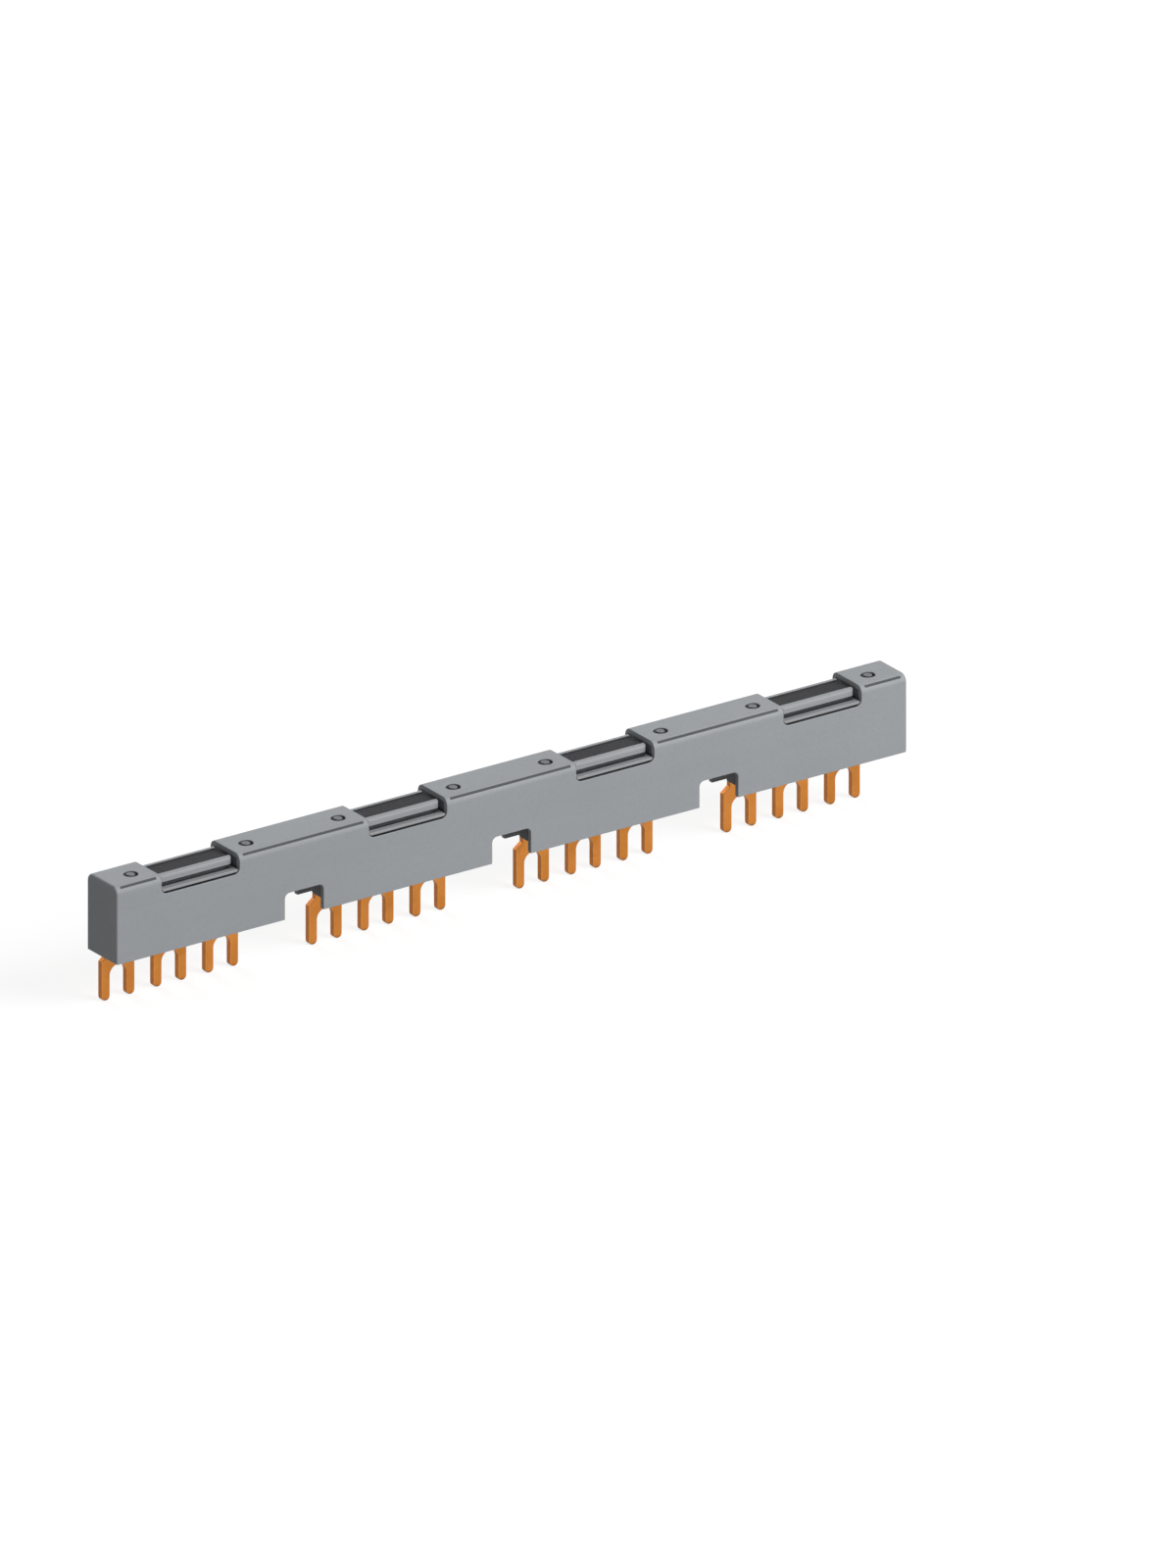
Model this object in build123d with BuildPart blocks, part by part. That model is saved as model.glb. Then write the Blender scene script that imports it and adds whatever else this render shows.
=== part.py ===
# Three-phase comb bus bar with four groups of fork tap-offs.
#
# Three copper bars lie one behind another in a moulded carrier. Each bar has one
# bent tab per group, and the tabs of all three bars end as forks in one plane,
# flush with the rear face. A housing covers the carrier from above, and a base
# comb closes it from below, with barriers between the tabs. Each section of the
# housing has a window with a marker rail.
#
# X runs along the bar, Y from the front wall to the rear face, Z upwards.
# The origin is midway along the bar, midway between front and rear, at the fork tips.

from build123d import *
import os

# Arrangement along the bar
tap_off_count = 4
tap_off_pitch = 54.0
section_length = 44.0
phase_count = 3
fork_pitch = 13.5
first_fork_offset = 7.15

# Clearances between pieces
fit_clearance = 0.1
slot_clearance = 0.1
neck_clearance = 0.2

# Copper bars
bar_thickness = 1.5
bend_inner_radius = 0.3
tab_run_height = 0.8

# Forks, measured up from their tips
fork_drop = 12.3
fork_width = 8.5
fork_slot_width = 4.4
arch_height = 7.7
shoulder_height = 9.0
shoulder_rise = 1.4
neck_width = 5.0
tip_flat = 0.15

# Carrier
carrier_front_wall = 0.8
carrier_rear_wall = 1.1
carrier_end_wall = 0.8
barrier_thickness = 0.7
block_setback = 0.3
window_web = 0.9
tongue_height = 0.6
tongue_width = 4.0
tongue_length = 12.0

# Housing
wall = 1.2
end_wall = 1.2
roof_thickness = 1.2
housing_height = 18.0
top_edge_radius = 1.8
notch_height = 6.0
notch_corner_radius = 1.2
window_length = 20.3
window_depth = 4.4
window_corner_radius = 1.4
end_edge_chamfer = 0.3
snap_height = 0.35
snap_drop = 1.0
snap_length = 5.0

# Pegs of the carrier, staked in recesses of the housing's roof
peg_spacing = 30.0
peg_row_offset = -0.8
peg_diameter = 1.9
recess_diameter = 3.3
recess_depth = 0.7

# Base comb
comb_thickness = 1.0
gusset_thickness = 1.0
comb_slot_clearance = 0.6
gusset_drop = 3.6
gusset_foot = 3.0
gusset_slope = 1.6

# Marker rails and their grooved strips
flange_height = 1.0
flange_setback = 0.2
flange_end_gap = 0.2
flange_rebate = 0.4
rail_side_ledge = 1.8
rail_end_ledge = 0.8
rail_height = 2.6
rail_foot_height = 0.85
rail_foot_inset = 0.7
rail_edge_radius = 0.8
rail_end_radius = 0.6
lip_width = 1.15
channel_depth = 1.5
marker_recess = 0.4
groove_count = 6
groove_side = 0.35

# Sizes that follow from the ones above
slot_width = bar_thickness + 2 * slot_clearance
bar_pitch = slot_width + barrier_thickness
carrier_walls = carrier_front_wall + carrier_rear_wall
carrier_depth = carrier_walls + phase_count * slot_width + (phase_count - 1) * barrier_thickness
housing_depth = carrier_depth + 2 * (fit_clearance + wall)
housing_length = (tap_off_count - 1) * tap_off_pitch + section_length
inner_length = housing_length - 2 * end_wall
carrier_length = inner_length - 2 * fit_clearance
strip_length = carrier_length - 2 * (carrier_end_wall + slot_clearance)
gap_length = tap_off_pitch - section_length
flange_length = window_length - 2 * flange_end_gap
flange_width = housing_depth - 2 * flange_setback
rail_length = window_length - 2 * rail_end_ledge
rail_width = housing_depth - 2 * rail_side_ledge
channel_width = rail_width - 2 * lip_width
marker_width = channel_width - 2 * fit_clearance

# Heights above the fork tips
shoulder_top_z = shoulder_height + shoulder_rise
rim_z = fork_drop
tab_run_z = rim_z + tab_run_height + bar_thickness / 2
gate_z = rim_z + tab_run_height + bar_thickness + fit_clearance
comb_bottom_z = rim_z + notch_height
comb_top_z = comb_bottom_z + comb_thickness
roof_z = rim_z + housing_height
ceiling_z = roof_z - roof_thickness
block_top_z = ceiling_z - fit_clearance
sill_z = roof_z - window_depth
slot_top_z = sill_z - window_web
strip_height = slot_top_z - slot_clearance - comb_top_z
flange_top_z = sill_z + flange_height
rail_top_z = flange_top_z + rail_height
channel_floor_z = rail_top_z - channel_depth
marker_top_z = rail_top_z - marker_recess

# Places across the bar
first_bar_y = -carrier_depth / 2 + carrier_front_wall + slot_width / 2
bar_places = [first_bar_y + i * bar_pitch for i in range(phase_count)]
fork_y = housing_depth / 2 - bar_thickness / 2
carrier_front_y = -carrier_depth / 2

# Places along the bar
first_section_x = -housing_length / 2
section_starts = [first_section_x + i * tap_off_pitch for i in range(tap_off_count)]
section_centres = [x + section_length / 2 for x in section_starts]
gap_centres = [x + section_length + gap_length / 2 for x in section_starts[:-1]]
peg_places = [x + side * peg_spacing / 2 for x in section_centres for side in (-1, 1)]
peg_points = [(x, peg_row_offset) for x in peg_places]


def fork_places(phase):
    # Centres of one phase's forks along the bar
    return [x + first_fork_offset + phase * fork_pitch for x in section_starts]


tab_places = [x for phase in range(phase_count) for x in fork_places(phase)]
tab_gap_places = [x + fork_pitch / 2 for phase in range(phase_count - 1) for x in fork_places(phase)]
outer_tab_places = fork_places(0) + fork_places(phase_count - 1)


def fork_outline():
    # Flat outline of one fork, X across it and Y up from its tips
    prong_width = (fork_width - fork_slot_width) / 2
    arch_radius = fork_slot_width / 2
    with BuildSketch(mode=Mode.PRIVATE) as fork:
        with BuildLine():
            Polyline(
                (-fork_width / 2, 0),
                (-fork_width / 2, shoulder_height),
                (-neck_width / 2, shoulder_top_z),
                (neck_width / 2, shoulder_top_z),
                (fork_width / 2, shoulder_height),
                (fork_width / 2, 0),
                close=True,
            )
        make_face()
        with Locations((0, arch_height - arch_radius)):
            Circle(arch_radius, mode=Mode.SUBTRACT)
            slot_align = (Align.CENTER, Align.MAX)
            Rectangle(fork_slot_width, arch_height, align=slot_align, mode=Mode.SUBTRACT)
        tips = fork.vertices().group_by(Axis.Y)[0]
        fillet(tips, radius=(prong_width - tip_flat) / 2)
    return fork.sketch


def make_phase_bar(phase):
    # One stamped and bent copper bar with a fork at each tap-off
    bar_y = bar_places[phase]
    places = fork_places(phase)
    bend_radius = min(bend_inner_radius + bar_thickness / 2, 0.49 * (fork_y - bar_y))
    standing = (Align.CENTER, Align.MIN)
    with BuildPart() as bar:
        # Strip with the roots of its tabs
        with BuildSketch(Plane.XZ.offset(-bar_y)):
            with Locations((0, comb_top_z)):
                Rectangle(strip_length, strip_height, align=standing)
            with Locations(*[(x, comb_bottom_z) for x in places]):
                Rectangle(neck_width, comb_thickness, align=standing)
        extrude(amount=bar_thickness / 2, both=True)

        # Double bend that brings each tab back to the plane of the forks
        with BuildSketch(*[Plane.YZ.offset(x) for x in places]):
            with BuildLine():
                FilletPolyline(
                    (bar_y, comb_bottom_z),
                    (bar_y, tab_run_z),
                    (fork_y, tab_run_z),
                    (fork_y, shoulder_top_z),
                    radius=bend_radius,
                )
            trace(line_width=bar_thickness)
        extrude(amount=neck_width / 2, both=True)

        # Forks
        with BuildSketch(Plane.XZ.offset(-fork_y)):
            with Locations(*[(x, 0) for x in places]):
                add(fork_outline())
        extrude(amount=bar_thickness / 2, both=True)
    return bar.part


def make_carrier():
    # Moulding with a slot for each bar, a tongue under each marker rail and the pegs
    with BuildPart() as carrier:
        with BuildSketch(Plane.XY.offset(comb_top_z)):
            Rectangle(carrier_length, carrier_depth)
        extrude(amount=block_top_z - comb_top_z)

        # Lowered to the sills under each window, with a tongue left standing
        with BuildSketch(Plane.XY.offset(sill_z)):
            with Locations(*[(x, 0) for x in section_centres]):
                Rectangle(window_length + 2 * block_setback, carrier_depth)
        extrude(amount=block_top_z - sill_z, mode=Mode.SUBTRACT)
        with BuildSketch(Plane.XY.offset(sill_z)):
            with Locations(*[(x, 0) for x in section_centres]):
                Rectangle(tongue_length, tongue_width)
        extrude(amount=tongue_height)

        # Slots for the bars, open at the bottom
        with BuildSketch(Plane.XY.offset(comb_top_z)):
            with Locations(*[(0, y) for y in bar_places]):
                Rectangle(strip_length + 2 * slot_clearance, slot_width)
        extrude(amount=slot_top_z - comb_top_z, mode=Mode.SUBTRACT)

        # Pegs, flush with the roof
        with BuildSketch(Plane.XY.offset(block_top_z)):
            with Locations(*peg_points):
                Circle(peg_diameter / 2)
        extrude(amount=roof_z - block_top_z)
    return carrier.part


def make_base_comb():
    # Plate under the bars, with open slots for the tabs and gussets between them
    slot_span = neck_width + 2 * comb_slot_clearance
    with BuildPart() as comb:
        with BuildSketch(Plane.XY.offset(comb_bottom_z)):
            Rectangle(carrier_length, carrier_depth)
            for phase, bar_y in enumerate(bar_places):
                slot_start = bar_y - slot_width / 2
                slot_align = (Align.CENTER, Align.MIN)
                with Locations(*[(x, slot_start) for x in fork_places(phase)]):
                    Rectangle(slot_span, carrier_depth, align=slot_align, mode=Mode.SUBTRACT)
        extrude(amount=comb_thickness)

        # Gussets at the ends of each section and between its tabs
        with BuildSketch(*[Plane.YZ.offset(x) for x in gusset_places()]):
            with BuildLine():
                Polyline(
                    (carrier_front_y, comb_bottom_z),
                    (carrier_front_y, comb_bottom_z - gusset_drop),
                    (carrier_front_y + gusset_foot, comb_bottom_z - gusset_drop),
                    (carrier_front_y + gusset_foot + gusset_slope, comb_bottom_z),
                    close=True,
                )
            make_face()
        extrude(amount=gusset_thickness / 2, both=True)
    return comb.part


def gusset_places():
    # Middle planes of the gussets along the bar
    half = gusset_thickness / 2
    places = list(tab_gap_places)
    for start in section_starts:
        places.append(max(start, -carrier_length / 2) + half)
        places.append(min(start + section_length, carrier_length / 2) - half)
    return places


def make_housing():
    # Cover open at the bottom, with notches, windows and a gate for each fork
    with BuildPart() as housing:
        with BuildSketch(Plane.YZ.offset(-housing_length / 2)) as profile:
            with Locations((0, rim_z)):
                Rectangle(housing_depth, housing_height, align=(Align.CENTER, Align.MIN))
            fillet(profile.vertices().group_by(Axis.Y)[-1], radius=top_edge_radius)
        extrude(amount=housing_length)
        chamfer(housing.faces().filter_by(Axis.X).edges(), length=end_edge_chamfer)

        # Room for the carrier and the base comb
        with BuildSketch(Plane.XY.offset(rim_z)):
            Rectangle(inner_length, housing_depth - 2 * wall)
        extrude(amount=ceiling_z - rim_z, mode=Mode.SUBTRACT)

        # Ridges that the base comb snaps over, in front of the outer tabs and behind the gaps
        inner_y = housing_depth / 2 - wall
        for side, places in ((-1, outer_tab_places), (1, tab_gap_places)):
            with BuildSketch(*[Plane.YZ.offset(x) for x in places]):
                with BuildLine():
                    Polyline(
                        (side * inner_y, comb_bottom_z),
                        (side * (inner_y - snap_height), comb_bottom_z),
                        (side * inner_y, comb_bottom_z - snap_drop),
                        close=True,
                    )
                make_face()
            extrude(amount=snap_length / 2, both=True)

        # Notches between the sections
        with BuildSketch(Plane.XZ) as notches:
            with Locations(*[(x, rim_z) for x in gap_centres]):
                Rectangle(gap_length, 2 * notch_height)
            fillet(notches.vertices().group_by(Axis.Y)[-1], radius=notch_corner_radius)
        extrude(amount=housing_depth, both=True, mode=Mode.SUBTRACT)

        # Windows in the roof, down to a sill in both long walls
        with BuildSketch(Plane.XZ) as windows:
            with Locations(*[(x, roof_z) for x in section_centres]):
                Rectangle(window_length, 2 * window_depth)
            fillet(windows.vertices().group_by(Axis.Y)[0], radius=window_corner_radius)
        extrude(amount=housing_depth, both=True, mode=Mode.SUBTRACT)

        # Gates in the rear wall, where the tabs bend down
        with BuildSketch(Plane.XZ.offset(-housing_depth / 2)):
            with Locations(*[(x, rim_z) for x in tab_places]):
                Rectangle(neck_width + 2 * neck_clearance, 2 * (gate_z - rim_z))
        extrude(amount=wall + fit_clearance, mode=Mode.SUBTRACT)

        # Staking recesses and holes for the carrier's pegs
        with Locations(Plane.XY.offset(roof_z)):
            with Locations(*peg_points):
                CounterBoreHole(
                    radius=peg_diameter / 2 + fit_clearance,
                    counter_bore_radius=recess_diameter / 2,
                    counter_bore_depth=recess_depth,
                    depth=roof_thickness,
                )
    return housing.part


def make_marker_rail(centre_x):
    # Flange that lies on the sills of a window, with two lips and a channel between them
    bottom = (Align.CENTER, Align.MIN)
    lip_foot_z = flange_top_z + rail_foot_height
    with BuildPart() as rail:
        # Lips, with a groove under each
        with BuildSketch(Plane.YZ.offset(centre_x - rail_length / 2)) as profile:
            with Locations((0, lip_foot_z)):
                Rectangle(rail_width, rail_top_z - lip_foot_z, align=bottom)
            fillet(profile.vertices().group_by(Axis.Y)[-1], radius=rail_edge_radius)
            with Locations((0, flange_top_z)):
                Rectangle(rail_width - 2 * rail_foot_inset, rail_foot_height, align=bottom)
            with Locations((0, channel_floor_z)):
                Rectangle(channel_width, channel_depth, align=bottom, mode=Mode.SUBTRACT)
        extrude(amount=rail_length)

        # Ends of the lips, rounded in plan
        with BuildSketch(Plane.XY.offset(flange_top_z)) as plan:
            with Locations((centre_x, 0)):
                Rectangle(rail_length, rail_width)
            fillet(plan.vertices(), radius=rail_end_radius)
        extrude(amount=rail_height, mode=Mode.INTERSECT)

        # Flange, with lower corners that follow those of the window
        with BuildSketch(Plane.XZ) as flange:
            with Locations((centre_x, sill_z)):
                Rectangle(flange_length, window_depth, align=bottom)
            corners = flange.vertices().group_by(Axis.Y)[0]
            fillet(corners, radius=window_corner_radius - flange_end_gap)
            with Locations((centre_x, sill_z)):
                Rectangle(flange_length, flange_height, align=bottom, mode=Mode.INTERSECT)
        extrude(amount=flange_width / 2, both=True)

        # Rebates that leave a shadow line above each sill, and the groove for the tongue
        with BuildSketch(Plane.YZ.offset(centre_x - flange_length / 2)):
            with Locations((-flange_width / 2, sill_z), (flange_width / 2, sill_z)):
                Rectangle(2 * flange_rebate, 2 * flange_rebate)
        extrude(amount=flange_length, mode=Mode.SUBTRACT)
        with BuildSketch(Plane.XY.offset(sill_z)):
            with Locations((centre_x, 0)):
                Rectangle(tongue_length + 2 * fit_clearance, tongue_width + 2 * fit_clearance)
        extrude(amount=tongue_height + fit_clearance, mode=Mode.SUBTRACT)
    return rail.part


def make_grooved_strip(centre_x):
    # Strip with fine V grooves along it, seated in a rail's channel
    groove_pitch = marker_width / groove_count
    with BuildPart() as strip:
        with BuildSketch(Plane.YZ.offset(centre_x - rail_length / 2)):
            with Locations((0, channel_floor_z)):
                Rectangle(
                    marker_width, marker_top_z - channel_floor_z, align=(Align.CENTER, Align.MIN)
                )
            with Locations((0, marker_top_z)):
                with GridLocations(groove_pitch, 0, groove_count, 1):
                    Rectangle(groove_side, groove_side, rotation=45, mode=Mode.SUBTRACT)
        extrude(amount=rail_length)
    return strip.part


pieces = {
    "housing": make_housing(),
    "carrier": make_carrier(),
    "base_comb": make_base_comb(),
}
for phase in range(phase_count):
    pieces[f"phase_bar_l{phase + 1}"] = make_phase_bar(phase)
for number, centre_x in enumerate(section_centres, start=1):
    pieces[f"marker_rail_{number}"] = make_marker_rail(centre_x)
    pieces[f"grooved_strip_{number}"] = make_grooved_strip(centre_x)

os.makedirs("parts", exist_ok=True)
for name, piece in pieces.items():
    piece.label = name
    export_step(piece, f"parts/{name}.step")
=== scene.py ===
import math

import bmesh
import bpy
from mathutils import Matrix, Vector


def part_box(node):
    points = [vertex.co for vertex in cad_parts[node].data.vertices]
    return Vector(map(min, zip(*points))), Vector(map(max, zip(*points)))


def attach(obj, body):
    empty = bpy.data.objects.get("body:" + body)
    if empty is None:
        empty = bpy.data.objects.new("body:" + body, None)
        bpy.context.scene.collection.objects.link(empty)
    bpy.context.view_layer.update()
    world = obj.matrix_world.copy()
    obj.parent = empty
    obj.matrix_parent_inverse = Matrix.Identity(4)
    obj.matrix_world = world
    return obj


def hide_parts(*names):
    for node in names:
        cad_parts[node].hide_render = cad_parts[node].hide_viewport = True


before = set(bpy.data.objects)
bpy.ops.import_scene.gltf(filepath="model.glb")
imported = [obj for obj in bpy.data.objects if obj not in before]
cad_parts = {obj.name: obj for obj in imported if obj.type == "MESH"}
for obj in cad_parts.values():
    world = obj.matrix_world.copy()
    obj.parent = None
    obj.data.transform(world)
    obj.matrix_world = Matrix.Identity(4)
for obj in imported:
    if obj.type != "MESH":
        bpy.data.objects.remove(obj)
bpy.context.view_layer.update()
print("frame loaded,", len(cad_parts), "nodes")

scene = bpy.context.scene
scene.view_settings.view_transform = "Standard"

mm = 0.001


# node helpers

def newMaterial(name):
    material = bpy.data.materials.new(name)
    material.use_nodes = True
    tree = material.node_tree
    tree.nodes.clear()
    return material, tree


def addNode(tree, kind, **values):
    node = tree.nodes.new(kind)
    for key, value in values.items():
        setattr(node, key, value)
    return node


def feed(tree, source, target):
    # links a socket, or sets a plain value
    if hasattr(source, "is_output"):
        tree.links.new(source, target)
    else:
        target.default_value = source


def newGroup(name, inputs, outputs):
    group = bpy.data.node_groups.new(name, "ShaderNodeTree")
    for label, kind, default in inputs:
        socket = group.interface.new_socket(label, in_out="INPUT", socket_type=kind)
        socket.default_value = default
    for label, kind in outputs:
        group.interface.new_socket(label, in_out="OUTPUT", socket_type=kind)
    inNode = group.nodes.new("NodeGroupInput")
    outNode = group.nodes.new("NodeGroupOutput")
    return group, inNode, outNode


def useGroup(tree, group, values):
    node = addNode(tree, "ShaderNodeGroup", node_tree=group)
    for label, value in values.items():
        feed(tree, value, node.inputs[label])
    return node


def math2(tree, operation, first, second=0.0):
    node = addNode(tree, "ShaderNodeMath", operation=operation)
    feed(tree, first, node.inputs[0])
    feed(tree, second, node.inputs[1])
    return node.outputs[0]


def noiseOn(tree, vector, scale, detail, roughness=0.5):
    noise = addNode(tree, "ShaderNodeTexNoise")
    feed(tree, scale, noise.inputs["Scale"])
    feed(tree, detail, noise.inputs["Detail"])
    feed(tree, roughness, noise.inputs["Roughness"])
    feed(tree, vector, noise.inputs["Vector"])
    return noise.outputs["Fac"]


def stretched(tree, vector, scale):
    mapping = addNode(tree, "ShaderNodeMapping")
    feed(tree, scale, mapping.inputs["Scale"])
    feed(tree, vector, mapping.inputs["Vector"])
    return mapping.outputs["Vector"]


def ramp(tree, value, fromRange, toRange, style="LINEAR"):
    node = addNode(tree, "ShaderNodeMapRange", interpolation_type=style)
    feed(tree, fromRange[0], node.inputs["From Min"])
    feed(tree, fromRange[1], node.inputs["From Max"])
    feed(tree, toRange[0], node.inputs["To Min"])
    feed(tree, toRange[1], node.inputs["To Max"])
    feed(tree, value, node.inputs["Value"])
    return node.outputs["Result"]


def mixColors(tree, factor, first, second):
    # a Mix node's colour sockets are known by number, as its names repeat
    mix = addNode(tree, "ShaderNodeMix", data_type="RGBA")
    feed(tree, factor, mix.inputs["Factor"])
    feed(tree, first, mix.inputs[6])
    feed(tree, second, mix.inputs[7])
    return mix.outputs[2]


def bumpOn(tree, height, strength, distance, normal=None, inward=False):
    bump = addNode(tree, "ShaderNodeBump", invert=inward)
    feed(tree, strength, bump.inputs["Strength"])
    feed(tree, distance, bump.inputs["Distance"])
    feed(tree, height, bump.inputs["Height"])
    if normal is not None:
        feed(tree, normal, bump.inputs["Normal"])
    return bump.outputs["Normal"]


def objectPlace(tree):
    return addNode(tree, "ShaderNodeTexCoord").outputs["Object"]


# shared effects

edgeLook = {
    "radius": 0.35 * mm,  # how far from an edge the rubbing and painted highlight reach
    "samples": 4,
    "turnedRange": (0.01, 0.16),  # how far the rounded normal turns, from clean to rubbed and lit
    "breakScale": 900.0,
    "breakRange": (0.3, 0.62),
    "leastShare": 0.25,  # what stays of the rubbing and painted highlight where it is broken up
}


def buildEdgeMask():
    # 1 on outer edges, broken up by a fine noise; it places rubbing and a painted highlight
    group, inNode, outNode = newGroup(
        "edgeMask",
        (("Reach", "NodeSocketFloat", 1.0),),
        (("Mask", "NodeSocketFloat"),),
    )
    rounded = addNode(group, "ShaderNodeBevel", samples=edgeLook["samples"])
    rounded.inputs["Radius"].default_value = edgeLook["radius"]
    plain = addNode(group, "ShaderNodeNewGeometry").outputs["Normal"]
    dot = addNode(group, "ShaderNodeVectorMath", operation="DOT_PRODUCT")
    feed(group, rounded.outputs["Normal"], dot.inputs[0])
    feed(group, plain, dot.inputs[1])
    turned = math2(group, "SUBTRACT", 1.0, dot.outputs["Value"])
    edge = ramp(group, turned, edgeLook["turnedRange"], (0.0, 1.0))
    patches = noiseOn(group, objectPlace(group), edgeLook["breakScale"], 3.0)
    broken = ramp(group, patches, edgeLook["breakRange"], (edgeLook["leastShare"], 1.0))
    mask = math2(group, "MULTIPLY", math2(group, "MULTIPLY", edge, broken), inNode.outputs["Reach"])
    feed(group, mask, outNode.inputs["Mask"])
    return group


creviceLook = {
    "reach": 1.15 * mm,  # how near the other side of a groove or gap has to be
    "samples": 8,
}


def buildCreviceMask():
    # 1 deep in grooves and gaps, 0 on open faces: where painted shade goes
    group, inNode, outNode = newGroup(
        "creviceShadeMask",
        (("Dark Below", "NodeSocketFloat", 0.3),
         ("Clear Above", "NodeSocketFloat", 0.85)),
        (("Mask", "NodeSocketFloat"),),
    )
    openness = addNode(group, "ShaderNodeAmbientOcclusion", samples=creviceLook["samples"])
    openness.inputs["Distance"].default_value = creviceLook["reach"]
    limits = (inNode.outputs["Dark Below"], inNode.outputs["Clear Above"])
    closed = ramp(group, openness.outputs["AO"], limits, (1.0, 0.0))
    feed(group, closed, outNode.inputs["Mask"])
    return group


mouldLook = {
    "cloudScale": 40.0,
    "cloudMix": 0.3,
    "cloudGloss": 0.03,  # how far the roughness strays with the clouds
    "flowStretch": (14.0, 150.0, 150.0),  # long along the bar
    "flowMix": 0.3,
    "flowBump": 0.25,
    "flowHeight": 0.05 * mm,
    "speckScale": 1700.0,
    "speckMix": 0.45,
    "speckGloss": (-0.02, 0.03),
    "pitScale": 2600.0,
    "pitHeight": 0.035 * mm,
}


def buildMouldGrain():
    # eroded-mould texture with faint flow lines from filling the mould
    group, inNode, outNode = newGroup(
        "mouldGrain",
        (("Color", "NodeSocketColor", (0.33, 0.33, 0.34, 1.0)),
         ("Shade", "NodeSocketColor", (0.28, 0.28, 0.29, 1.0)),
         ("Grain", "NodeSocketFloat", 0.25),
         ("Roughness", "NodeSocketFloat", 0.5)),
        (("Color", "NodeSocketColor"), ("Roughness", "NodeSocketFloat"), ("Normal", "NodeSocketVector")),
    )
    place = objectPlace(group)
    color, shade = inNode.outputs["Color"], inNode.outputs["Shade"]
    cloud = noiseOn(group, place, mouldLook["cloudScale"], 4.0, 0.55)
    flow = noiseOn(group, stretched(group, place, mouldLook["flowStretch"]), 1.0, 4.0, 0.55)
    speck = noiseOn(group, place, mouldLook["speckScale"], 2.0)
    pits = noiseOn(group, place, mouldLook["pitScale"], 3.0, 0.65)

    clouded = ramp(group, cloud, (0.3, 0.7), (0.0, mouldLook["cloudMix"]))
    streaked = ramp(group, flow, (0.35, 0.7), (0.0, mouldLook["flowMix"]))
    specked = ramp(group, speck, (0.5, 0.75), (0.0, mouldLook["speckMix"]))
    for mask in (clouded, streaked, specked):
        color = mixColors(group, mask, color, shade)
    feed(group, color, outNode.inputs["Color"])

    stray = mouldLook["cloudGloss"]
    broadGloss = ramp(group, cloud, (0.3, 0.7), (-stray, stray))
    fineGloss = ramp(group, speck, (0.4, 0.7), mouldLook["speckGloss"])
    gloss = math2(group, "ADD", broadGloss, fineGloss)
    feed(group, math2(group, "ADD", inNode.outputs["Roughness"], gloss), outNode.inputs["Roughness"])

    ripple = bumpOn(group, flow, mouldLook["flowBump"], mouldLook["flowHeight"])
    grain = bumpOn(group, pits, inNode.outputs["Grain"], mouldLook["pitHeight"], ripple)
    feed(group, grain, outNode.inputs["Normal"])
    return group


rolledLook = {
    "cloudScale": 95.0,
    "cloudMix": 0.5,
    "cloudBump": 0.35,
    "cloudHeight": 0.25 * mm,
    "lineStretch": (260.0, 9000.0, 9000.0),  # fine lines along the sheet
    "lineMix": 0.22,
    "lineBump": 0.25,
    "lineHeight": 0.006 * mm,
    "blotScale": 420.0,
    "blotMix": 0.4,
    "blotGloss": (-0.07, 0.12),
    "tearStretch": (5200.0, 500.0, 5200.0),  # coarse lines through the sheet's thickness
    "tearMix": (0.1, 0.6),
    "tearBump": 0.5,
    "tearHeight": 0.03 * mm,
    "shearedRough": 0.14,  # how much rougher a sheared face is
    "shearedRange": (0.25, 0.6),  # how far a face turns to the front or rear, from sheared to rolled
}


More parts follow.
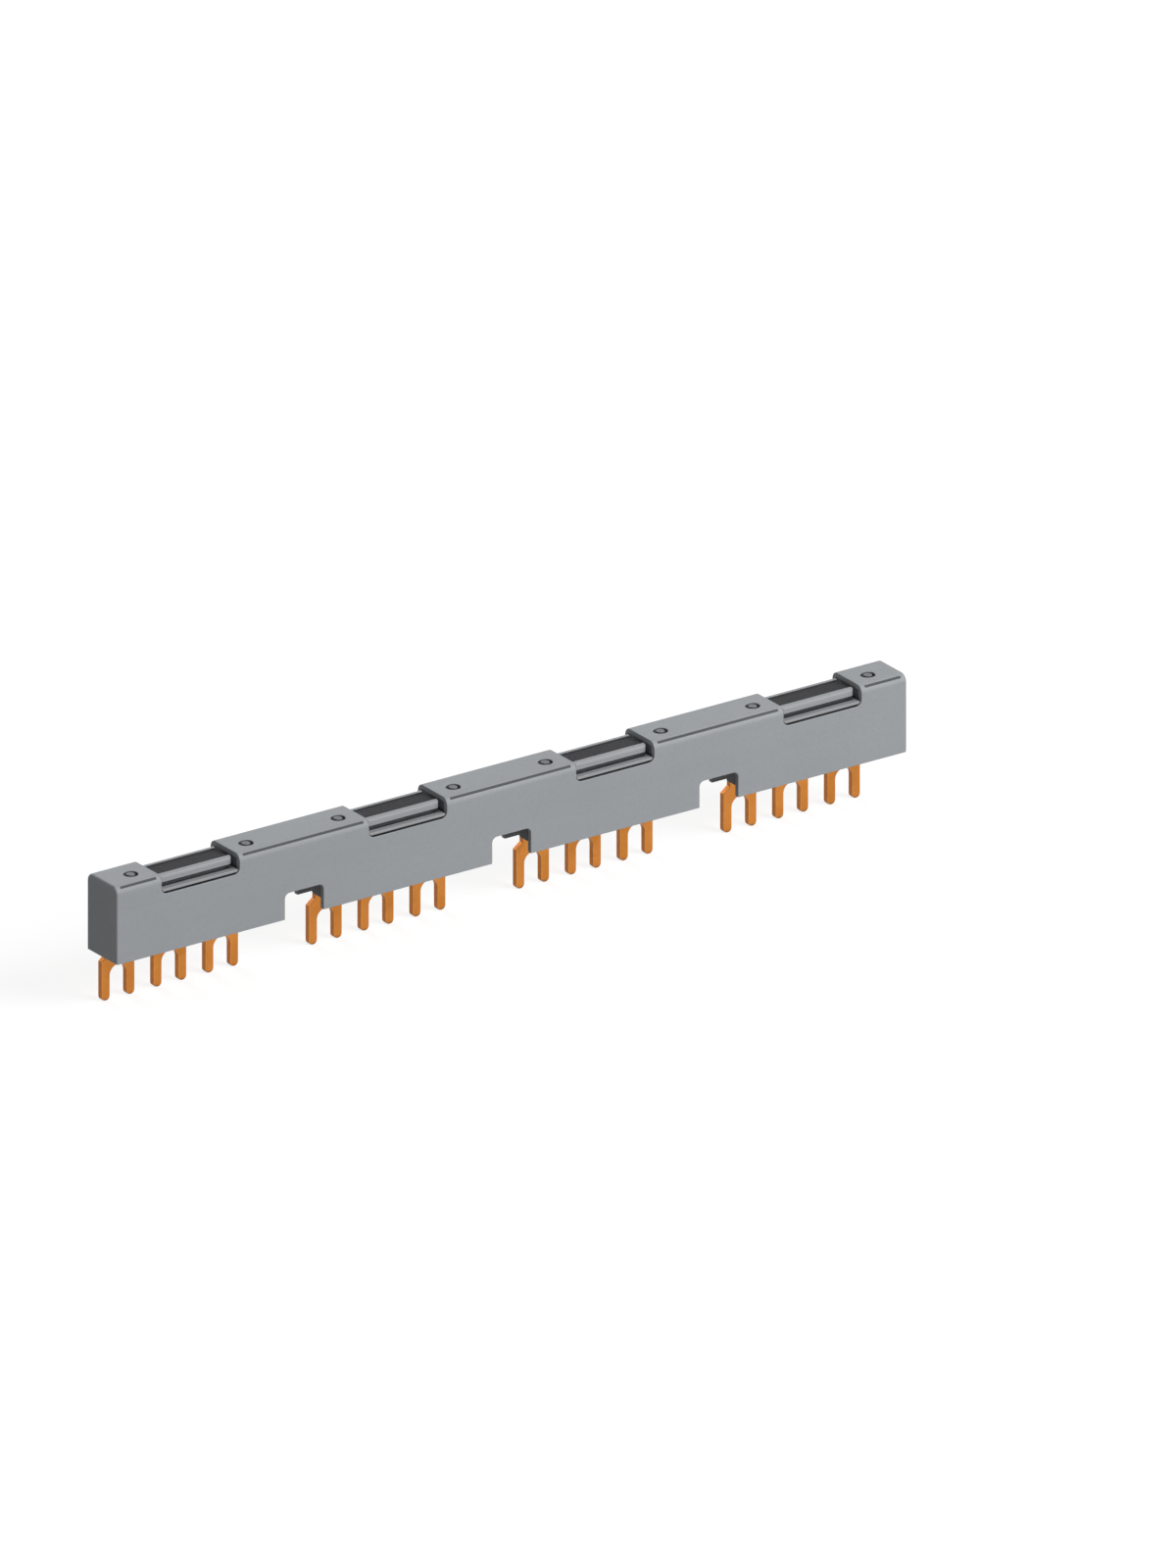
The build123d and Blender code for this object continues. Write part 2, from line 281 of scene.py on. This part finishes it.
def buildRolledMetal():
    # sheet with fine rolling lines, a film of tarnish and rough sheared edges
    group, inNode, outNode = newGroup(
        "rolledMetal",
        (("Color", "NodeSocketColor", (0.56, 0.21, 0.05, 1.0)),
         ("Tarnish", "NodeSocketColor", (0.36, 0.12, 0.025, 1.0)),
         ("Sheared", "NodeSocketColor", (0.42, 0.16, 0.04, 1.0)),
         ("Roughness", "NodeSocketFloat", 0.3)),
        (("Color", "NodeSocketColor"), ("Roughness", "NodeSocketFloat"), ("Normal", "NodeSocketVector")),
    )
    place = objectPlace(group)
    color, tarnish = inNode.outputs["Color"], inNode.outputs["Tarnish"]
    cloud = noiseOn(group, place, rolledLook["cloudScale"], 4.0, 0.6)
    lines = noiseOn(group, stretched(group, place, rolledLook["lineStretch"]), 1.0, 3.0, 0.6)
    blot = noiseOn(group, place, rolledLook["blotScale"], 4.0, 0.6)
    tears = noiseOn(group, stretched(group, place, rolledLook["tearStretch"]), 1.0, 2.0)

    axes = addNode(group, "ShaderNodeSeparateXYZ")
    feed(group, addNode(group, "ShaderNodeTexCoord").outputs["Normal"], axes.inputs[0])
    facing = math2(group, "ABSOLUTE", axes.outputs["Y"])
    sheared = ramp(group, facing, rolledLook["shearedRange"], (1.0, 0.0))

    clouded = ramp(group, cloud, (0.36, 0.66), (0.0, rolledLook["cloudMix"]))
    lined = ramp(group, lines, (0.35, 0.7), (0.0, rolledLook["lineMix"]))
    spotted = ramp(group, blot, (0.56, 0.74), (0.0, rolledLook["blotMix"]))
    for mask in (clouded, lined, spotted):
        color = mixColors(group, mask, color, tarnish)
    torn = ramp(group, tears, (0.35, 0.65), rolledLook["tearMix"])
    tornColor = mixColors(group, torn, inNode.outputs["Sheared"], tarnish)
    feed(group, mixColors(group, sheared, color, tornColor), outNode.inputs["Color"])

    gloss = ramp(group, blot, (0.35, 0.7), rolledLook["blotGloss"])
    edgeRough = math2(group, "MULTIPLY", sheared, rolledLook["shearedRough"])
    rough = math2(group, "ADD", math2(group, "ADD", inNode.outputs["Roughness"], gloss), edgeRough)
    feed(group, rough, outNode.inputs["Roughness"])

    waved = bumpOn(group, cloud, rolledLook["cloudBump"], rolledLook["cloudHeight"])
    rolled = bumpOn(group, lines, rolledLook["lineBump"], rolledLook["lineHeight"], waved)
    tearBump = math2(group, "MULTIPLY", sheared, rolledLook["tearBump"])
    ragged = bumpOn(group, tears, tearBump, rolledLook["tearHeight"], rolled)
    feed(group, ragged, outNode.inputs["Normal"])
    return group


edgeMask = buildEdgeMask()
creviceShadeMask = buildCreviceMask()
mouldGrain = buildMouldGrain()
rolledMetal = buildRolledMetal()


# materials

def finishMaterial(tree, shader, color, roughness, normal):
    output = addNode(tree, "ShaderNodeOutputMaterial")
    feed(tree, color, shader.inputs["Base Color"])
    feed(tree, roughness, shader.inputs["Roughness"])
    feed(tree, normal, shader.inputs["Normal"])
    feed(tree, shader.outputs["BSDF"], output.inputs["Surface"])


def opaque(color):
    return (*color, 1.0)


def wornHighlightedAndShaded(tree, look, color, roughness):
    # lighter and smoother on rubbed edges, the lighter colour partly a painted highlight, and darker in
    # crevices, a painted shade
    rubbedAndLit = useGroup(tree, edgeMask, {"Reach": look["rubbingAndHighlight"]}).outputs["Mask"]
    # painted highlight, partly rubbing: edges take a lighter colour
    color = mixColors(tree, rubbedAndLit, color, opaque(look["rubbedAndHighlightColor"]))
    smoother = math2(tree, "MULTIPLY", rubbedAndLit, look["rubbedGloss"])
    darkBelow, clearAbove = look["creviceRange"]
    crevice = useGroup(tree, creviceShadeMask, {"Dark Below": darkBelow, "Clear Above": clearAbove})
    # painted shade: grooves and gaps take a darker colour
    color = mixColors(tree, crevice.outputs["Mask"], color, opaque(look["creviceShadeColor"]))
    return color, math2(tree, "SUBTRACT", roughness, smoother)


def mouldedPlastic(look, marks=None):
    material, tree = newMaterial(look["name"])
    effect = useGroup(tree, mouldGrain, {
        "Color": opaque(look["color"]),
        "Shade": opaque(look["shade"]),
        "Roughness": look["roughness"],
        "Grain": look["grain"],
    })
    color, roughness = effect.outputs["Color"], effect.outputs["Roughness"]
    normal = effect.outputs["Normal"]
    if marks is not None:
        mark = marks(tree)
        # painted shade: the seam's groove is drawn in a dark colour
        color = mixColors(tree, mark, color, opaque(look["seamShadeColor"]))
        normal = bumpOn(tree, mark, 1.0, look["markDepth"], normal, inward=True)
    color, roughness = wornHighlightedAndShaded(tree, look, color, roughness)
    shader = addNode(tree, "ShaderNodeBsdfPrincipled")
    shader.inputs["Specular IOR Level"].default_value = look["specular"]
    finishMaterial(tree, shader, color, roughness, normal)
    return material


def stampedCopper(look):
    material, tree = newMaterial(look["name"])
    effect = useGroup(tree, rolledMetal, {
        "Color": opaque(look["color"]),
        "Tarnish": opaque(look["tarnish"]),
        "Sheared": opaque(look["sheared"]),
        "Roughness": look["roughness"],
    })
    color, roughness = wornHighlightedAndShaded(tree, look, effect.outputs["Color"], effect.outputs["Roughness"])
    shader = addNode(tree, "ShaderNodeBsdfPrincipled")
    shader.inputs["Metallic"].default_value = 1.0
    finishMaterial(tree, shader, color, roughness, effect.outputs["Normal"])
    return material


# softened copies: each piece is a node's own mesh with its sharp edges rounded

softening = {
    "mergeWithin": 0.0005 * mm,
    "flatWithin": math.radians(0.6),  # neighbours that lie this flat become one face
    "roundAbove": math.radians(32.0),  # edges that turn more than this are rounded
    "creaseAbove": math.radians(50.0),  # edges that turn more than this stay sharp in shading
}


def softenedCopy(nodeName, look, material):
    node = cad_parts[nodeName]
    for slot in node.material_slots:
        slot.material = material
    soft = bmesh.new()
    soft.from_mesh(node.data)
    bmesh.ops.remove_doubles(soft, verts=soft.verts, dist=softening["mergeWithin"])
    bmesh.ops.dissolve_limit(soft, angle_limit=softening["flatWithin"], verts=soft.verts,
                             edges=soft.edges, use_dissolve_boundaries=False)
    sharp = [edge for edge in soft.edges
             if edge.is_manifold and edge.calc_face_angle() > softening["roundAbove"]]
    bmesh.ops.bevel(soft, geom=sharp, offset=look["edgeRound"], offset_type="OFFSET", affect="EDGES",
                    segments=look["edgeSegments"], profile=0.5, material=-1, clamp_overlap=False)
    for face in soft.faces:
        face.smooth = True
    mesh = bpy.data.meshes.new(nodeName + "Mesh")
    soft.to_mesh(mesh)
    soft.free()
    mesh.set_sharp_from_angle(angle=softening["creaseAbove"])
    mesh.materials.append(material)
    piece = bpy.data.objects.new(nodeName + "_soft", mesh)
    scene.collection.objects.link(piece)
    weighted = piece.modifiers.new("flatFaces", "WEIGHTED_NORMAL")
    weighted.mode = "FACE_AREA"
    weighted.keep_sharp = True
    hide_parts(nodeName)
    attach(piece, "root")


def nodesNamed(start):
    return sorted(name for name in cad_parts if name.startswith(start))


# housing

housingLook = {
    "name": "housingGrey",
    "slot": "cover_grey",
    "color": (0.300, 0.316, 0.332),
    "shade": (0.252, 0.266, 0.282),
    "rubbedAndHighlightColor": (0.42, 0.435, 0.45),
    "rubbingAndHighlight": 0.5,
    "rubbedGloss": 0.12,
    "roughness": 0.62,
    "specular": 0.3,
    "grain": 0.3,
    "edgeRound": 0.14 * mm,
    "edgeSegments": 3,
    "creviceRange": (0.36, 0.88),
    "creviceShadeColor": (0.016, 0.017, 0.018),
    # the dark of the seam is painted shade
    "seamShadeColor": (0.062, 0.064, 0.069),
    "markDepth": 0.15 * mm,
    "seamIn": 0.6 * mm,  # the split line of the mould, in from the long wall
    "seamDown": 0.5 * mm,  # and down from the roof
    "seamWidth": 0.2 * mm,
    "seamFade": 1.8,  # where it has faded out, in widths
    "seamStop": 1.3 * mm,  # how far it ends from the windows and the ends
}


def mouldSeam(tree):
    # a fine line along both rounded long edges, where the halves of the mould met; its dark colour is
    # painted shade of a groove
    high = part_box("housing")[1]
    axes = addNode(tree, "ShaderNodeSeparateXYZ")
    feed(tree, objectPlace(tree), axes.inputs[0])
    offCentre = math2(tree, "ABSOLUTE", axes.outputs["Y"])
    side = math2(tree, "SUBTRACT", offCentre, high.y - housingLook["seamIn"])
    down = math2(tree, "SUBTRACT", axes.outputs["Z"], high.z - housingLook["seamDown"])
    across = math2(tree, "SQRT", math2(tree, "ADD", math2(tree, "POWER", side, 2.0),
                                       math2(tree, "POWER", down, 2.0)))
    width = housingLook["seamWidth"]
    line = ramp(tree, across, (width, housingLook["seamFade"] * width), (1.0, 0.0), "SMOOTHSTEP")

    # kept off the windows, which repeat along the bar, and off both ends
    firstLow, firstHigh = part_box("marker_rail_1")
    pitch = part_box("marker_rail_2")[0].x - firstLow.x
    centre = (firstLow.x + firstHigh.x) / 2.0
    reach = (firstHigh.x - firstLow.x) / 2.0 + housingLook["seamStop"]
    wrapped = addNode(tree, "ShaderNodeMath", operation="WRAP")
    feed(tree, math2(tree, "SUBTRACT", axes.outputs["X"], centre), wrapped.inputs[0])
    feed(tree, pitch / 2.0, wrapped.inputs[1])
    feed(tree, -pitch / 2.0, wrapped.inputs[2])
    fromWindow = math2(tree, "ABSOLUTE", wrapped.outputs[0])
    beside = ramp(tree, fromWindow, (reach, reach + width), (0.0, 1.0))
    stop = high.x - housingLook["seamStop"]
    fromMiddle = math2(tree, "ABSOLUTE", axes.outputs["X"])
    inside = ramp(tree, fromMiddle, (stop - width, stop), (1.0, 0.0))
    return math2(tree, "MULTIPLY", line, math2(tree, "MULTIPLY", beside, inside))


softenedCopy("housing", housingLook, mouldedPlastic(housingLook, mouldSeam))
print("housing made")


# carrier and base comb

innerLook = {
    "name": "innerGrey",
    "slot": "inner_grey",
    "color": (0.165, 0.171, 0.182),
    "shade": (0.132, 0.137, 0.146),
    "rubbedAndHighlightColor": (0.25, 0.258, 0.27),
    "rubbingAndHighlight": 0.4,
    "rubbedGloss": 0.12,
    "roughness": 0.62,
    "specular": 0.3,
    "grain": 0.35,
    "edgeRound": 0.1 * mm,
    "edgeSegments": 2,
    "creviceRange": (0.3, 0.85),
    "creviceShadeColor": (0.018, 0.0185, 0.02),
}

innerFinish = mouldedPlastic(innerLook)
for nodeName in ("carrier", "base_comb"):
    softenedCopy(nodeName, innerLook, innerFinish)
print("carrier and base comb made")


# marker rails

railLook = {
    "name": "railGrey",
    "slot": "rail_grey",
    "color": (0.30, 0.308, 0.32),
    "shade": (0.25, 0.257, 0.268),
    "rubbedAndHighlightColor": (0.40, 0.408, 0.42),
    "rubbingAndHighlight": 0.4,
    "rubbedGloss": 0.12,
    "roughness": 0.6,
    "specular": 0.32,
    "grain": 0.25,
    "edgeRound": 0.12 * mm,
    "edgeSegments": 3,
    "creviceRange": (0.57, 0.85),
    "creviceShadeColor": (0.009, 0.0095, 0.0105),
}

railFinish = mouldedPlastic(railLook)
for nodeName in nodesNamed("marker_rail"):
    softenedCopy(nodeName, railLook, railFinish)
print("marker rails made")


# grooved strips

stripLook = {
    "name": "stripDark",
    "slot": "strip_dark",
    "color": (0.033, 0.033, 0.036),
    "shade": (0.02, 0.02, 0.022),
    "rubbedAndHighlightColor": (0.09, 0.089, 0.092),
    "rubbingAndHighlight": 0.5,
    "rubbedGloss": 0.12,
    "roughness": 0.68,
    "specular": 0.22,
    "grain": 0.45,
    "edgeRound": 0.05 * mm,
    "edgeSegments": 2,
    "creviceRange": (0.3, 0.85),
    "creviceShadeColor": (0.006, 0.006, 0.007),
}

stripFinish = mouldedPlastic(stripLook)
for nodeName in nodesNamed("grooved_strip"):
    softenedCopy(nodeName, stripLook, stripFinish)
print("grooved strips made")


# copper bars

barLook = {
    "name": "barCopper",
    "slot": "copper",
    "color": (0.63, 0.238, 0.05),
    "tarnish": (0.38, 0.126, 0.02),
    "sheared": (0.33, 0.115, 0.022),
    "rubbedAndHighlightColor": (0.84, 0.40, 0.14),
    "rubbingAndHighlight": 0.7,
    "rubbedGloss": 0.1,
    "roughness": 0.27,
    "creviceRange": (0.3, 0.85),
    "creviceShadeColor": (0.11, 0.04, 0.01),
    "edgeRound": 0.12 * mm,
    "edgeSegments": 3,
}

barFinish = stampedCopper(barLook)
for nodeName in nodesNamed("phase_bar"):
    softenedCopy(nodeName, barLook, barFinish)
print("copper bars made")


# stage

stageLook = {
    "floorSize": 6.0,
    "floorColor": (0.25, 0.25, 0.25, 1.0),
    "floorGlow": 0.8,
    "worldColor": (1.0, 1.0, 1.0, 1.0),
    "worldLight": 0.28,
}


def lightPathMask(tree):
    # 1 for camera, glossy and transmission rays
    path = addNode(tree, "ShaderNodeLightPath")
    total = path.outputs["Is Camera Ray"]
    for label in ("Is Glossy Ray", "Is Transmission Ray"):
        total = math2(tree, "MAXIMUM", total, path.outputs[label])
    return total


def makeFloor():
    bpy.ops.mesh.primitive_plane_add(size=stageLook["floorSize"], location=(0.0, 0.0, 0.0))
    floor = bpy.context.object
    floor.name = "floor"
    material, tree = newMaterial("floorWhite")
    diffuse = addNode(tree, "ShaderNodeBsdfDiffuse")
    diffuse.inputs["Color"].default_value = stageLook["floorColor"]
    glow = addNode(tree, "ShaderNodeEmission")
    strength = math2(tree, "MULTIPLY", lightPathMask(tree), stageLook["floorGlow"])
    feed(tree, strength, glow.inputs["Strength"])
    both = addNode(tree, "ShaderNodeAddShader")
    output = addNode(tree, "ShaderNodeOutputMaterial")
    feed(tree, diffuse.outputs[0], both.inputs[0])
    feed(tree, glow.outputs[0], both.inputs[1])
    feed(tree, both.outputs[0], output.inputs["Surface"])
    floor.data.materials.append(material)


def makeWorld():
    world = bpy.data.worlds.new("studio")
    world.use_nodes = True
    tree = world.node_tree
    tree.nodes.clear()
    back = addNode(tree, "ShaderNodeBackground")
    back.inputs["Color"].default_value = stageLook["worldColor"]
    strength = ramp(tree, lightPathMask(tree), (0.0, 1.0), (stageLook["worldLight"], 1.0))
    feed(tree, strength, back.inputs["Strength"])
    output = addNode(tree, "ShaderNodeOutputWorld")
    feed(tree, back.outputs[0], output.inputs["Surface"])
    scene.world = world


lampAim = (0.0, 0.0, 20.0 * mm)
lampLooks = (
    {"name": "keyLamp", "place": (1.11, -1.53, 1.08), "size": 1.8, "power": 57.0},
    {"name": "rearLamp", "place": (0.02, 1.00, 0.42), "size": 0.7, "power": 6.0},
)


def makeLamp(look):
    lamp = bpy.data.lights.new(look["name"], "AREA")
    lamp.shape = "DISK"
    lamp.size = look["size"]
    lamp.energy = look["power"]
    lampObject = bpy.data.objects.new(look["name"], lamp)
    scene.collection.objects.link(lampObject)
    place = Vector(look["place"])
    lampObject.location = place
    lampObject.rotation_euler = (Vector(lampAim) - place).to_track_quat("-Z", "Y").to_euler()


makeFloor()
makeWorld()
for lampLook in lampLooks:
    makeLamp(lampLook)
print("stage and lamps made")


# camera: a parallel view, with its axis through one point of the front wall

cameraView = {
    "azimuth": -34.9,
    "elevation": 22.8,
    "frameHeight": 335.0 * mm,
    "aim": (19.87 * mm, -5.5 * mm, 24.86 * mm),
    "distance": 1.2,
    "nearest": 0.01,
    "furthest": 20.0,
}


def makeCamera():
    azimuth = math.radians(cameraView["azimuth"])
    elevation = math.radians(cameraView["elevation"])
    back = Vector((math.sin(azimuth) * math.cos(elevation),
                   -math.cos(azimuth) * math.cos(elevation),
                   math.sin(elevation)))
    camera = bpy.data.cameras.new("camera")
    camera.type = "ORTHO"
    camera.ortho_scale = cameraView["frameHeight"]
    camera.clip_start = cameraView["nearest"]
    camera.clip_end = cameraView["furthest"]
    cameraObject = bpy.data.objects.new("camera", camera)
    scene.collection.objects.link(cameraObject)
    cameraObject.location = Vector(cameraView["aim"]) + back * cameraView["distance"]
    cameraObject.rotation_euler = back.to_track_quat("Z", "Y").to_euler()
    scene.camera = cameraObject


makeCamera()
print("camera set")
